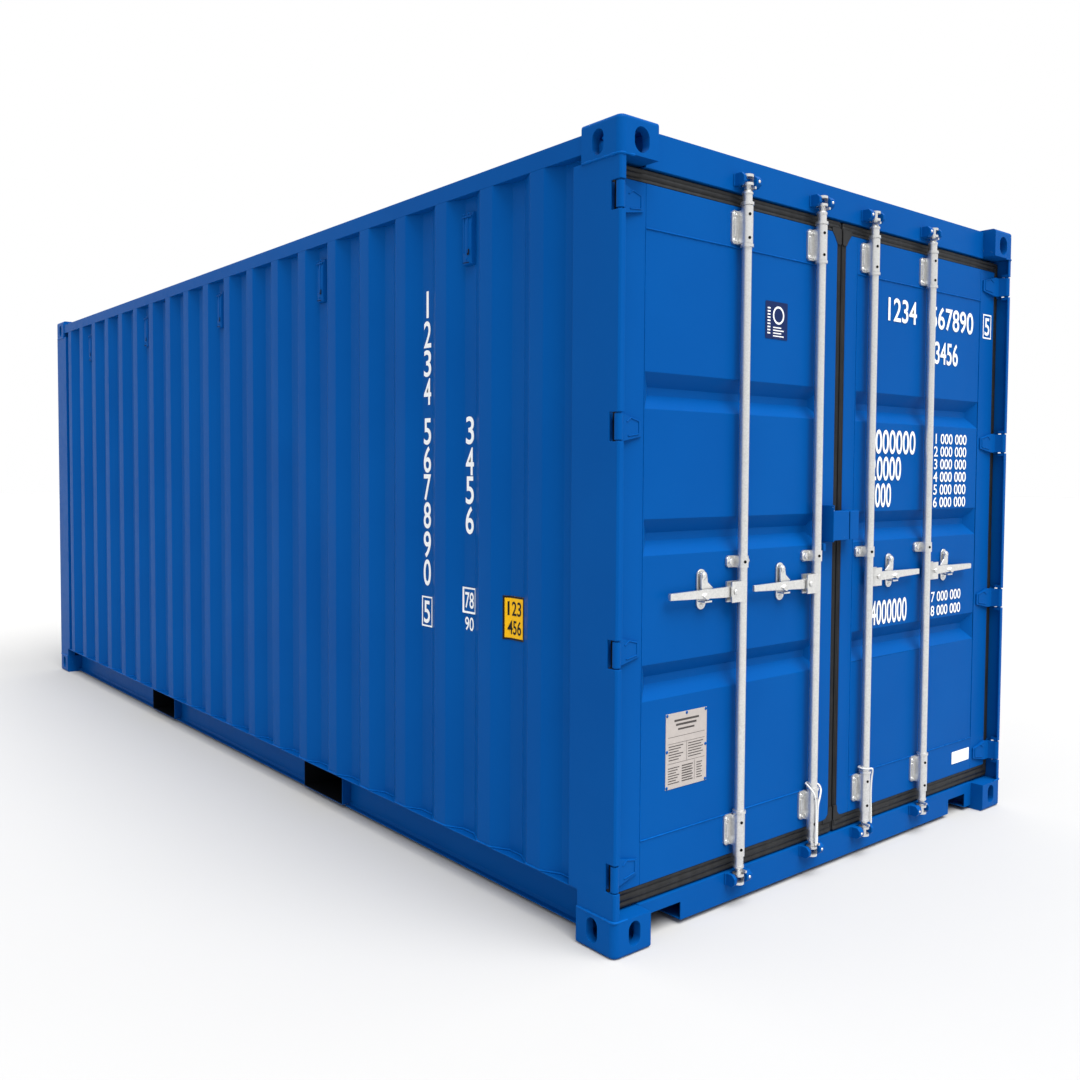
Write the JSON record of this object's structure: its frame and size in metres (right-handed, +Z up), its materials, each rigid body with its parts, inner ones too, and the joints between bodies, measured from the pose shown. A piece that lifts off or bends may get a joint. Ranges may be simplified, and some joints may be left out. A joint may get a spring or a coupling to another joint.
{
  "type": "shipping container",
  "caption": "Steel dry-freight container with corrugated walls, double doors with lock rods, fork pockets and corner castings.",
  "frame": {"origin": "middle of the footprint, at the undersides of the bottom corner castings", "axes": "+Z up, -Y out of the door end, +Y out of the closed front end, +X to the right when facing the doors"},
  "size_m": [2.438, 6.0585, 2.591],
  "materials": {
    "blue_paint": "satin, worn and scratched at the edges",
    "galvanised_steel": "galvanised, dull and slightly mottled",
    "seal_rubber": "matte black, dusty",
    "floor_plywood": "sealed hardwood plywood",
    "vent_plastic": "matte, painted over in the wall's blue",
    "plate_metal": "satin",
    "underframe_coating": "dark waxy coating",
    "rope_fibre": "twisted white synthetic rope"
  },
  "bodies": {
    "frame": {"bottom_casting_door_left": "blue_paint", "bottom_casting_door_right": "blue_paint", "bottom_casting_front_left": "blue_paint", "bottom_casting_front_right": "blue_paint", "bottom_side_rails": "blue_paint", "cam_keepers": "blue_paint", "cross_members": "underframe_coating", "door_end_posts": "blue_paint", "door_header": "blue_paint", "door_sill": "blue_paint", "floor_boards": "floor_plywood", "fork_pocket_1": "blue_paint", "fork_pocket_2": "blue_paint", "front_end_posts": "blue_paint", "front_lower_rail": "blue_paint", "front_upper_rail": "blue_paint", "front_wall": "blue_paint", "hinge_pins": "blue_paint", "left_side_wall": "blue_paint", "right_side_wall": "blue_paint", "roof_panel": "blue_paint", "top_casting_door_left": "blue_paint", "top_casting_door_right": "blue_paint", "top_casting_front_left": "blue_paint", "top_casting_front_right": "blue_paint", "top_side_rails": "blue_paint", "ventilators": "vent_plastic"},
    "left_door": {"left_bar_brackets": "galvanised_steel", "left_catch_plates": "galvanised_steel", "left_door_panel": "blue_paint", "left_door_rails": "blue_paint", "left_door_seal": "seal_rubber", "left_door_stiles": "blue_paint", "left_hinge_blades": "blue_paint", "left_lock_box": "blue_paint", "data_plate": "plate_metal", "tie_rope_left": "rope_fibre"},
    "right_door": {"right_bar_brackets": "galvanised_steel", "right_catch_plates": "galvanised_steel", "right_door_panel": "blue_paint", "right_door_rails": "blue_paint", "right_door_seal": "seal_rubber", "right_door_stiles": "blue_paint", "right_hinge_blades": "blue_paint", "right_lock_box": "blue_paint", "tie_rope_right": "rope_fibre"},
    "lock_bar_1": {"lock_bar_1": "galvanised_steel"},
    "handle_1": {"handle_1": "galvanised_steel"},
    "catch_1": {"catch_1": "galvanised_steel"},
    "lock_bar_2": {"lock_bar_2": "galvanised_steel"},
    "handle_2": {"handle_2": "galvanised_steel"},
    "catch_2": {"catch_2": "galvanised_steel"},
    "lock_bar_3": {"lock_bar_3": "galvanised_steel"},
    "handle_3": {"handle_3": "galvanised_steel"},
    "catch_3": {"catch_3": "galvanised_steel"},
    "lock_bar_4": {"lock_bar_4": "galvanised_steel"},
    "handle_4": {"handle_4": "galvanised_steel"},
    "catch_4": {"catch_4": "galvanised_steel"}
  },
  "joints": [
    {"name": "left_door_hinge", "type": "hinge", "parent": "frame", "child": "left_door", "pos_m": [-1.201, -3.011, 1.3015], "axis": [0, 0, -1], "range_deg": [0, 265]},
    {"name": "right_door_hinge", "type": "hinge", "parent": "frame", "child": "right_door", "pos_m": [1.201, -3.011, 1.3015], "axis": [0, 0, 1], "range_deg": [0, 265]},
    {"name": "lock_bar_1_turn", "type": "hinge", "parent": "left_door", "child": "lock_bar_1", "pos_m": [-0.594, -2.999, 1.3], "axis": [0, 0, -1], "range_deg": [-100, 0]},
    {"name": "handle_1_lift", "type": "hinge", "parent": "lock_bar_1", "child": "handle_1", "pos_m": [-0.644, -2.999, 1.107], "axis": [0, 1, 0], "range_deg": [0, 30]},
    {"name": "catch_1_swing", "type": "hinge", "parent": "left_door", "child": "catch_1", "pos_m": [-0.776, -2.984, 1.168], "axis": [0, 1, 0], "range_deg": [0, 90]},
    {"name": "lock_bar_2_turn", "type": "hinge", "parent": "left_door", "child": "lock_bar_2", "pos_m": [-0.171, -2.999, 1.3], "axis": [0, 0, -1], "range_deg": [-100, 0]},
    {"name": "handle_2_lift", "type": "hinge", "parent": "lock_bar_2", "child": "handle_2", "pos_m": [-0.221, -2.999, 1.107], "axis": [0, 1, 0], "range_deg": [0, 30]},
    {"name": "catch_2_swing", "type": "hinge", "parent": "left_door", "child": "catch_2", "pos_m": [-0.353, -2.984, 1.168], "axis": [0, 1, 0], "range_deg": [0, 90]},
    {"name": "lock_bar_3_turn", "type": "hinge", "parent": "right_door", "child": "lock_bar_3", "pos_m": [0.171, -2.999, 1.3], "axis": [0, 0, 1], "range_deg": [-100, 0]},
    {"name": "handle_3_lift", "type": "hinge", "parent": "lock_bar_3", "child": "handle_3", "pos_m": [0.221, -2.999, 1.107], "axis": [0, -1, 0], "range_deg": [0, 30]},
    {"name": "catch_3_swing", "type": "hinge", "parent": "right_door", "child": "catch_3", "pos_m": [0.353, -2.984, 1.168], "axis": [0, -1, 0], "range_deg": [0, 90]},
    {"name": "lock_bar_4_turn", "type": "hinge", "parent": "right_door", "child": "lock_bar_4", "pos_m": [0.594, -2.999, 1.3], "axis": [0, 0, 1], "range_deg": [-100, 0]},
    {"name": "handle_4_lift", "type": "hinge", "parent": "lock_bar_4", "child": "handle_4", "pos_m": [0.644, -2.999, 1.107], "axis": [0, -1, 0], "range_deg": [0, 30]},
    {"name": "catch_4_swing", "type": "hinge", "parent": "right_door", "child": "catch_4", "pos_m": [0.776, -2.984, 1.168], "axis": [0, -1, 0], "range_deg": [0, 90]}
  ]
}
